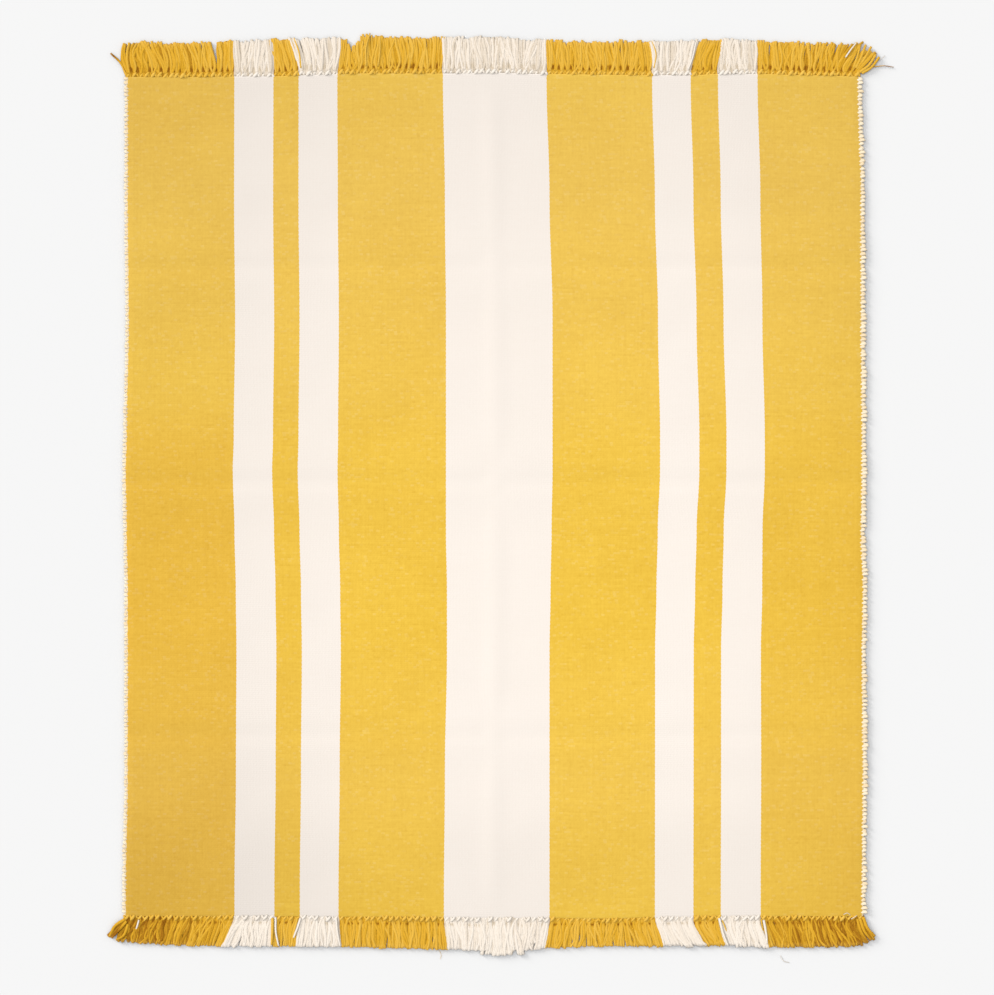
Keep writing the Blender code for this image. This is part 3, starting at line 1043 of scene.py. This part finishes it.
def spline_point(points: Sequence[Vector], share: float) -> Vector:
    """A point on the smooth curve through some points.

    Args:
        points: The points, evenly spread by share.
        share: How far along, from 0 to 1.

    Returns:
        The point there, on a Catmull-Rom curve.
    """
    spans = len(points) - 1
    place = min(max(share, 0.0), 1.0) * spans
    index = min(int(place), spans - 1)
    t = place - index
    before = points[index - 1] if index > 0 else points[0] * 2 - points[1]
    after = points[index + 2] if index + 2 <= spans else points[-1] * 2 - points[-2]
    first, second = points[index], points[index + 1]
    return (
        first * 2
        + (second - before) * t
        + (before * 2 - first * 5 + second * 4 - after) * t**2
        + (first * 3 - before - second * 3 + after) * t**3
    ) * 0.5


def set_order(bm: Mesh) -> None:
    """Sorts a mesh's points and faces by place, since an extrusion leaves them in another order each run."""
    points = sorted(bm.verts, key=lambda vert: tuple(vert.co))
    bm.verts.sort(key={vert: rank for rank, vert in enumerate(points)}.get)
    faces = sorted(bm.faces, key=lambda face: tuple(face.calc_center_median()))
    bm.faces.sort(key={face: rank for rank, face in enumerate(faces)}.get)


@dataclass
class WovenField:
    """The striped cloth: one closed thin sheet with its creases and a slight unevenness."""

    uv_name: ClassVar[str] = "weave"
    layout: RugLayout
    thickness: float = 4.0 * MM
    selvedge_thickness: float = 2.6 * MM
    end_thickness: float = 3.4 * MM
    selvedge_round: float = 4.0 * MM
    end_round: float = 3.0 * MM
    rim_share: float = 0.3
    column_step: float = 9.0 * MM
    row_step: float = 10.0 * MM
    unevenness: float = 0.3 * MM
    waves_per_metre: float = 16.0
    near_lap: float = 2.6 * MM

    def columns(self) -> list[float]:
        """Where the sheet's points stand across the rug, closer together at the selvedges."""
        return self.spread(self.layout.width / 2, self.selvedge_round, self.column_step)

    def rows(self) -> list[float]:
        """Where the sheet's points stand along the rug, closer together at the ends."""
        return self.spread(self.layout.field_half_length, self.end_round, self.row_step)

    def spread(self, half: float, rim: float, step: float) -> list[float]:
        """Spreads points evenly over a width, with two more in the rounded rim at each side.

        Args:
            half: Half the width.
            rim: The width of the rounded rim.
            step: About how far apart the even points are.

        Returns:
            The places, rising.
        """
        inner = half - rim
        count = round(2 * inner / step)
        middle = [-inner + 2 * inner * number / count for number in range(count + 1)]
        outer = [half, half - rim * self.rim_share]
        return sorted([-place for place in outer] + middle + outer)

    def point(self, across: float, along: float) -> Vector:
        """A point of the cloth's underside. The near end laps a little under its knots."""
        end = End.FAR if along > 0 else End.NEAR
        layout = self.layout
        lap = self.near_lap if end is End.NEAR else 0.0
        field_end = layout.heading_edge(end, across) - layout.heading_width - layout.piece_gap + lap
        stretch = field_end / layout.field_half_length
        return Vector((across + layout.drift(across, along), along * stretch, layout.lift(across, along)))

    def build(self, material: Material) -> bpy.types.Object:
        """Builds the cloth.

        Args:
            material: Its finish.

        Returns:
            The cloth's object.
        """
        columns, rows = self.columns(), self.rows()
        across_steps, along_steps = len(columns) - 1, len(rows) - 1
        bm = bmesh.new()
        bmesh.ops.create_grid(bm, x_segments=across_steps, y_segments=along_steps, size=1.0)
        nominal_across = bm.verts.layers.float.new("across")
        nominal_along = bm.verts.layers.float.new("along")
        for vert in bm.verts:
            vert[nominal_across] = columns[round((vert.co.x + 1) / 2 * across_steps)]
            vert[nominal_along] = rows[round((vert.co.y + 1) / 2 * along_steps)]
            vert.co = self.point(vert[nominal_across], vert[nominal_along])
        upper = bmesh.ops.extrude_face_region(bm, geom=bm.faces[:])["geom"]
        for vert in (item for item in upper if isinstance(item, bmesh.types.BMVert)):
            vert.co.z += self.thickness_at(vert[nominal_across], vert[nominal_along])
        uv_layer = bm.loops.layers.uv.new(self.uv_name)
        for face in bm.faces:
            for loop in face.loops:
                loop[uv_layer].uv = (loop.vert[nominal_across], loop.vert[nominal_along])
        for layer_name in ("across", "along"):
            bm.verts.layers.float.remove(bm.verts.layers.float.get(layer_name))
        set_order(bm)
        return add_object("woven_cloth", bm, material)

    def thickness_at(self, across: float, along: float) -> float:
        """The cloth's thickness at a place, thin and round at the selvedges and the ends."""
        side_rim = rounding((self.layout.width / 2 - abs(across)) / self.selvedge_round)
        end_rim = rounding((self.layout.field_half_length - abs(along)) / self.end_round)
        by_side = self.selvedge_thickness + (self.thickness - self.selvedge_thickness) * side_rim
        by_end = self.end_thickness + (self.thickness - self.end_thickness) * end_rim
        place = Vector((across, along, 0.0)) * self.waves_per_metre
        wave = self.unevenness * (noise.noise(place) - 0.5) * min(side_rim, end_rim)
        return min(by_side, by_end) + wave


def yarn_profile(share: float, ends: float, swell: float) -> float:
    """A yarn's thickness at a share of its length: that of its ends, and how much more it has halfway."""
    return ends + swell * math.sin(math.pi * min(share, 1.0))


def tucked(share: float) -> float:
    """How far a yarn has gone under its neighbours at a share of its length, where painted shade makes it
    look deeper.
    """
    return max(0.0, share - TUCKED_FROM)


def rounding(share: float) -> float:
    """The height of a quarter circle at a share of its width, level past it."""
    held = min(max(share, 0.0), 1.0)
    return math.sqrt(1 - (1 - held) ** 2)


@dataclass
class SelvedgeTurns:
    """The undyed weft where it turns back round the outermost warp, a row of small slanting loops."""

    layout: RugLayout
    spinner: YarnSpinner
    side: int
    reach: float
    yarn_radius: float
    pitch: float = 6.7 * MM
    slant: float = 3.2 * MM
    inset: float = 4.8 * MM
    top: float = 3.2 * MM
    start_drop: float = 0.7 * MM
    place_jitter: float = 1.0 * MM
    reach_jitter: float = 0.35
    slant_range: tuple[float, float] = (0.4, 1.4)
    size_range: tuple[float, float] = (0.85, 1.12)
    tone_range: tuple[float, float] = (0.05, 0.45)
    under_shade: float = 0.6
    profile: tuple[float, float] = (0.8, 0.25)
    seed: int = 7

    def build(self, material: Material) -> bpy.types.Object:
        """Builds one side's loops.

        Args:
            material: Their finish.

        Returns:
            The loops' object.
        """
        rng = random.Random(self.seed + self.side)
        bm = bmesh.new()
        half = self.layout.field_half_length
        count = round(2 * half / self.pitch)
        for number in range(count):
            along = -half + (number + 0.5) * 2 * half / count + rng.uniform(-1.0, 1.0) * self.place_jitter
            reach = self.reach * (1 + rng.uniform(-self.reach_jitter, self.reach_jitter))
            slant = self.slant * rng.uniform(*self.slant_range)
            radius = self.yarn_radius * rng.uniform(*self.size_range)
            tone = rng.uniform(*self.tone_range)
            self.spinner.lay(
                bm,
                self.route(along, reach, slant, radius),
                lambda share, radius=radius: radius * yarn_profile(share, *self.profile),
                # Painted shade deepens the part of each loop that goes back under the cloth's edge.
                lambda share, tone=tone: tone + self.under_shade * tucked(share),
            )
        name = "selvedge_turns_right" if self.side > 0 else "selvedge_turns_left"
        return add_object(name, bm, material)

    def route(self, along: float, reach: float, slant: float, radius: float) -> list[Vector]:
        """The middle line of one loop, from over the cloth's edge, out and round to under it."""
        layout = self.layout
        edge = self.side * layout.width / 2
        x = edge + layout.drift(edge, along)
        base = layout.lift(edge, along)
        low = base + radius
        middle = base + (self.top + radius) / 2
        stations = (
            (-self.inset, -slant / 2, base + self.top - self.start_drop),
            (reach * 0.1, -slant / 4, base + self.top),
            (reach - radius, 0.0, middle + 0.2 * MM),
            (reach * 0.3, slant / 3, low),
            (-self.inset * 0.4, slant / 2, low + 0.3 * MM),
        )
        return [Vector((x + self.side * out, along + shift, height)) for out, shift, height in stations]


@dataclass
class KnotRow:
    """One end's row of half hitches in one yarn, each a fat slanting wrap over a thinner crossing one."""

    layout: RugLayout
    spinner: YarnSpinner
    end: End
    yarn: Yarn
    over_radius: float = 2.55 * MM
    under_radius: float = 2.2 * MM
    near_size: float = 0.86
    near_out_mm: float = 1.9
    near_rise_mm: float = 0.5
    crest_mm: float = 3.4
    crest_jitter_mm: float = 0.3
    place_jitter: float = 0.16
    out_jitter_mm: float = 1.0
    size_jitter: float = 0.24
    tone_jitter: float = 0.3
    under_shade: float = 0.2
    tucked_shade: float = 0.8
    profile: tuple[float, float] = (0.62, 0.42)
    seed: int = 21

    def build(self, material: Material) -> bpy.types.Object:
        """Builds the knots of this end and yarn.

        Args:
            material: Their finish.

        Returns:
            The knots' object.
        """
        rng = random.Random(self.seed + self.end.value)
        bm = bmesh.new()
        for knot in self.layout.knots():
            draws = KnotDraws(*(rng.uniform(-1.0, 1.0) for _ in KnotDraws._fields))
            if knot.yarn is self.yarn:
                self.tie(bm, knot, draws)
        return add_object(f"{self.end.name.lower()}_knots_{self.yarn.value}", bm, material)

    def tie(self, bm: Mesh, knot: Knot, draws: KnotDraws) -> None:
        """Adds one knot. Stations are shares of the pitch, and millimetres out from the cloth and up."""
        pitch = knot.right - knot.left
        middle = (knot.left + knot.right) / 2
        crest = self.crest_mm + self.crest_jitter_mm * draws.crest
        over = (
            (-0.36, -1.8, 2.4), (-0.24, 0.2, 3.1), (-0.04, 2.5, crest), (0.16, 4.7, 3.2), (0.28, 7.2, 2.2),
        )
        under = ((0.46, -1.4, 2.4), (0.38, 0.8, 2.9), (0.22, 2.9, 2.8), (-0.10, 5.0, 1.9))
        near = 1.0 if self.end is End.NEAR else 0.0
        size = 1 + self.size_jitter * draws.size
        shift = self.out_jitter_mm * draws.out + self.near_out_mm * near
        # Painted shade: the crossing wrap beneath is deeper all along, and both wraps deepen where they tuck
        # under.
        for stations, radius, lean, depth in (
            (over, self.over_radius, draws.over, 0.0),
            (under, self.under_radius, draws.under, self.under_shade),
        ):
            route = [
                end_point(
                    self.layout,
                    self.end,
                    middle + (share + self.place_jitter * lean) * pitch * self.end.value,
                    (out + shift) * MM - self.layout.heading_width,
                    (up + self.near_rise_mm * near) * MM * size,
                )
                for share, out, up in stations
            ]
            thick = radius * size * (self.near_size if self.end is End.NEAR else 1.0)
            tone = depth + self.tone_jitter * abs(draws.tone)
            self.spinner.lay(
                bm,
                route,
                lambda share, thick=thick: thick * yarn_profile(share, *self.profile),
                lambda share, tone=tone: tone + self.tucked_shade * tucked(share),
            )


def end_point(layout: RugLayout, end: End, across: float, out: float, height: float) -> Vector:
    """A point near an end of the rug.

    Args:
        layout: The rug's layout.
        end: Which end.
        across: The place across the rug, before the weave's drift.
        out: How far past the heading's outer edge.
        height: The height above the floor.

    Returns:
        The point in the frame.
    """
    shift = layout.drift(across, end.value * layout.field_half_length)
    return Vector((across + shift, end.value * (layout.heading_edge(end, across) + out), height))


def photo_point(x_px: float, y_px: float, height: float) -> Vector:
    """The place in the frame of a point in the photograph, at a height above the floor."""
    return Vector(((x_px - ORIGIN_PX[0]) * METRES_PER_PX, (ORIGIN_PX[1] - y_px) * METRES_PER_PX, height))


def photo_x(across: float) -> float:
    """The column of the photograph in which a place across the rug shows."""
    return across / METRES_PER_PX + ORIGIN_PX[0]


@dataclass
class Fringe:
    """One end's loose yarns in one colour, several from each knot, in two layers."""

    layout: RugLayout
    spinner: YarnSpinner
    end: End
    yarn: Yarn
    yarns_in_layer: int = 4
    reach_jitter_mm: ClassVar[dict[End, float]] = {End.FAR: 2.8, End.NEAR: 1.3}
    # Where the hollows' painted shade is deepest and how far it fades, in millimetres out from the heading.
    hollow_shade_mm: ClassVar[dict[End, tuple[float, float]]] = {End.FAR: (3.2, 5.0), End.NEAR: (4.6, 3.6)}
    size_jitter: float = 0.12
    height_jitter: float = 0.1
    tone_jitter: float = 0.2
    natural_size: float = 1.25
    curl: float = 3.6 * MM
    clump_bow: float = 0.6
    sway: float = 0.7
    corner_curl: float = 0.45
    border_freedom: float = 0.3
    tip_hook: float = 3.4 * MM
    notch_steepness: float = 1.6
    parting_reach_px: float = 7.0
    corner_start: float = 0.35
    corner_width: float = 0.26
    profile: tuple[float, float] = (0.82, 0.2)
    profile_end: float = 1.15
    stray_root_height: float = 0.8
    stray_tip_height: float = 0.65
    stray_tone: float = 0.15
    stray_taper: float = 0.25
    seed: int = 40

    def build(self, material: Material) -> bpy.types.Object:
        """Builds the yarns of this end and colour.

        Args:
            material: Their finish.

        Returns:
            The fringe's object.
        """
        rng = random.Random(self.seed + self.end.value)
        bm = bmesh.new()
        for knot in self.layout.knots():
            clump = ClumpDraws(*(rng.gauss(0.0, 1.0) for _ in ClumpDraws._fields))
            for layer in (LOWER_LAYER, UPPER_LAYER):
                for number in range(self.yarns_in_layer):
                    draws = YarnDraws(*(rng.uniform(-1.0, 1.0) for _ in YarnDraws._fields))
                    if knot.yarn is self.yarn:
                        self.hang(bm, knot, layer, (number + 0.5) / self.yarns_in_layer - 0.5, clump, draws)
        for row in LONE_YARNS[self.end, self.yarn]:
            self.stray(bm, LoneYarn(*row))
        return add_object(f"{self.end.name.lower()}_fringe_{self.yarn.value}", bm, material)

    def hang(
        self, bm: Mesh, knot: Knot, layer: FringeLayer, share: float, clump: ClumpDraws, draws: YarnDraws
    ) -> None:
        """Adds one yarn that leaves its knot and lies down towards its tip.

        Args:
            bm: The fringe's mesh.
            knot: The yarn's knot.
            layer: The layer that the yarn lies in.
            share: Its place within the knot, from -0.5 to 0.5.
            clump: Draws for all of the knot's yarns.
            draws: Draws for this yarn alone.
        """
        pitch = knot.right - knot.left
        middle = (knot.left + knot.right) / 2
        freedom = self.border_freedom if knot.at_border else 1.0
        swing = layer.clump_lean_deg * clump.lean + layer.own_lean_deg * draws.lean
        swing *= freedom if layer.steady_at_borders else 1.0
        table = END_TABLES[self.end]
        slope = math.tan(math.radians(read_table(table, "lean_deg", middle) + swing))
        longer = layer.own_reach * draws.reach + layer.clump_reach * clump.reach
        reach_mm = read_table(table, "reach_mm", middle) + self.reach_jitter_mm[self.end] * longer
        reach = reach_mm * MM - layer.shorter
        start = middle + pitch * share
        reach -= self.notch_depth(start + slope * reach)
        parting = self.parting(start + slope * reach / 2)
        places, bows = zip(*BOW_TABLES[self.end])
        curl = self.curl * layer.loose * freedom * (1.0 + self.corner_curl * self.corner(middle))
        bow = between(places, bows, middle / MM) * MM + curl * (self.clump_bow * clump.bow + draws.bow)
        sway = curl * self.sway * draws.sway
        hook = self.tip_hook * draws.hook * layer.loose * freedom
        radius = layer.radius * (1 + self.size_jitter * draws.size)
        radius *= self.natural_size if self.yarn is Yarn.NATURAL else 1.0
        gather = 1.0 + layer.gather_jitter * clump.bow
        route = []
        for number, (spread, up) in enumerate(zip(layer.spread, layer.heights_mm)):
            part = number / (len(layer.spread) - 1)
            out = layer.root + (reach - layer.root) * part
            sideways = share * pitch * spread * (gather if number == 0 else 1.0) + slope * max(out, 0.0)
            sideways += bow * math.sin(math.pi * part) + sway * math.sin(2 * math.pi * part)
            sideways += parting * part + hook * part**4
            height = max(up * MM * (1 + self.height_jitter * draws.height), radius * self.spinner.flatness)
            route.append(end_point(self.layout, self.end, middle, out, height) + Vector((sideways, 0.0, 0.0)))
        whole, more = FRINGE_DEPTHS[self.end, self.yarn]
        tone = layer.tone + self.tone_jitter * draws.tone + whole + more * self.corner(middle)
        # Painted shade: the yarns darken in the hollows just outside the knots.
        root_shade = layer.root_shade + layer.root_shade_jitter * clump.bow
        self.spinner.lay(
            bm,
            route,
            lambda place: radius * yarn_profile(place * self.profile_end, *self.profile),
            lambda place: tone + root_shade * self.hollow_shade(layer.root + (reach - layer.root) * place),
        )

    def stray(self, bm: Mesh, lone: LoneYarn) -> None:
        """Adds one yarn that lies by itself."""
        height = max(lone.height_mm, lone.radius_mm) * MM
        root = photo_point(lone.root_x_px, lone.root_y_px, height * self.stray_root_height)
        tip_height = max(height * self.stray_tip_height, lone.radius_mm * MM)
        tone = self.stray_tone + FRINGE_DEPTHS[self.end, self.yarn][1] * self.corner(root.x)
        self.spinner.lay(
            bm,
            (
                root,
                photo_point(lone.middle_x_px, lone.middle_y_px, height),
                photo_point(lone.tip_x_px, lone.tip_y_px, tip_height),
            ),
            lambda place: lone.radius_mm * MM * (1.0 - self.stray_taper * place),
            lambda place: tone + lone.tip_depth * place**2,
        )

    def hollow_shade(self, out: float) -> float:
        """How far a place out from the heading lies in the hollows just outside the knots, from 0 to 1, where
        the yarns get painted shade.
        """
        middle_mm, half_mm = self.hollow_shade_mm[self.end]
        return eased(1.0 - abs(out / MM - middle_mm) / half_mm)

    def corner(self, across: float) -> float:
        """How near a place across the rug is to a corner, from 0 to 1."""
        return eased((abs(across) - self.corner_start) / self.corner_width)

    def notch_depth(self, across: float) -> float:
        """How much shorter the yarns are whose tips lie at a place across the rug."""
        depths_mm = [0.0]
        for notch in NOTCHES[self.end]:
            share = max(0.0, 1.0 - abs(photo_x(across) - notch.x_px) / notch.half_width_px)
            depths_mm.append(notch.depth_mm * min(1.0, share * self.notch_steepness))
        return max(depths_mm) * MM

    def parting(self, across: float) -> float:
        """How far a yarn whose middle is at a place across the rug is pushed aside at its tip."""
        push_px = 0.0
        for opening in OPENINGS[self.end]:
            from_middle = photo_x(across) - opening.x_px
            fading = max(0.0, 1.0 - abs(from_middle) / self.parting_reach_px)
            push_px += math.copysign(opening.half_width_px * fading, from_middle)
        return push_px * METRES_PER_PX


@dataclass
class Studio:
    """The pale floor, the soft light and the camera that looks straight down as in the photograph."""

    image_px: tuple[float, float] = (994.0, 995.0)
    cloth_top: float = 4.0 * MM
    lens_mm: float = 70.0
    sensor_mm: float = 36.0
    floor_side: float = 12.0
    floor_drop: float = 0.2 * MM
    sky_colour: tuple[float, float, float, float] = (0.975, 0.985, 1.0, 1.0)
    sky_strength: float = 0.74
    suns: tuple[Sun, ...] = (
        Sun("key light", (-0.35, 0.45, 1.0), 0.52, (1.02, 1.0, 0.97), 40.0),
        Sun("low window light", (-0.78, 0.55, 0.29), 3.0, (1.02, 1.0, 0.97), 22.0),
    )

    def build(self, floor_finish: Material) -> None:
        """Sets the floor, lights and camera."""
        bm = bmesh.new()
        bmesh.ops.create_grid(bm, x_segments=1, y_segments=1, size=self.floor_side / 2)
        bmesh.ops.translate(bm, verts=bm.verts[:], vec=(0.0, 0.0, -self.floor_drop))
        add_object("floor", bm, floor_finish, smooth=False)
        world = bpy.data.worlds.new("studio")
        world.use_nodes = True
        sky = world.node_tree.nodes["Background"]
        sky.inputs["Color"].default_value = self.sky_colour
        sky.inputs["Strength"].default_value = self.sky_strength
        bpy.context.scene.world = world
        for sun in self.suns:
            light = bpy.data.lights.new(sun.name, "SUN")
            light.energy = sun.energy
            light.color = sun.colour
            light.angle = math.radians(sun.angle_deg)
            lamp = bpy.data.objects.new(sun.name, light)
            lamp.rotation_euler = Vector(sun.shines_from).to_track_quat("Z", "Y").to_euler()
            bpy.context.scene.collection.objects.link(lamp)
        self.place_camera()

    def place_camera(self) -> None:
        """Sets the camera over the middle of the photograph's frame, looking straight down."""
        lens = bpy.data.cameras.new("camera")
        lens.lens = self.lens_mm
        lens.sensor_width = self.sensor_mm
        lens.sensor_fit = "HORIZONTAL"
        camera = bpy.data.objects.new("camera", lens)
        width, height = self.image_px
        distance = width * METRES_PER_PX * self.lens_mm / self.sensor_mm
        camera.location = photo_point(width / 2, height / 2, self.cloth_top + distance)
        bpy.context.scene.collection.objects.link(camera)
        bpy.context.scene.camera = camera
        bpy.context.scene.view_settings.view_transform = "Standard"


def main() -> None:
    """Builds the rug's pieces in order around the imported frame, and reports each."""
    logging.basicConfig(level=logging.INFO, format="%(name)s: %(message)s")
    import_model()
    layout = RugLayout()
    Studio().build(PaleFloor().make())

    # The fourth colour of each yarn is the painted shade of its hollows.
    yellow = LooseYarn("plied yellow cotton yarn", "EBBE54", "DAA52A", "965F10", "EEC46C", nap=0.7)
    natural = LooseYarn("plied undyed cotton yarn", "F5ECE0", "EFE2D2", "D3C2AA", "F5EEE5", nap=0.85)
    weft = LooseYarn("undyed cotton weft", "FAECD2", "F0D6AC", "B99766", "F8ECD8", nap=0.75)
    finishes = {Yarn.YELLOW: yellow.make(), Yarn.NATURAL: natural.make()}
    weft_finish = weft.make()

    cloth = WovenField(layout).build(StripedCloth(layout).make())
    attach(cloth, BODY)
    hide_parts("woven_field")
    LOG.info("cloth: %d faces", len(cloth.data.polygons))

    edging = []
    short_spinner = YarnSpinner(steps=6)
    long_spinner = YarnSpinner(steps=12)
    for side, reach, radius in ((-1, 3.3 * MM, 2.4 * MM), (1, 6.2 * MM, 2.7 * MM)):
        turns = SelvedgeTurns(layout, short_spinner, side, reach, radius).build(weft_finish)
        edging.append(turns)
    for end in End:
        for yarn in Yarn:
            knots = KnotRow(layout, short_spinner, end, yarn).build(finishes[yarn])
            fringe = Fringe(layout, long_spinner, end, yarn).build(finishes[yarn])
            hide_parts(f"{end.name.lower()}_fringe")
            for piece in (knots, fringe):
                edging.append(piece)
    for piece in edging:
        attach(piece, BODY)
        LOG.info("%s: %d faces", piece.name, len(piece.data.polygons))


if __name__ == "__main__":
    main()
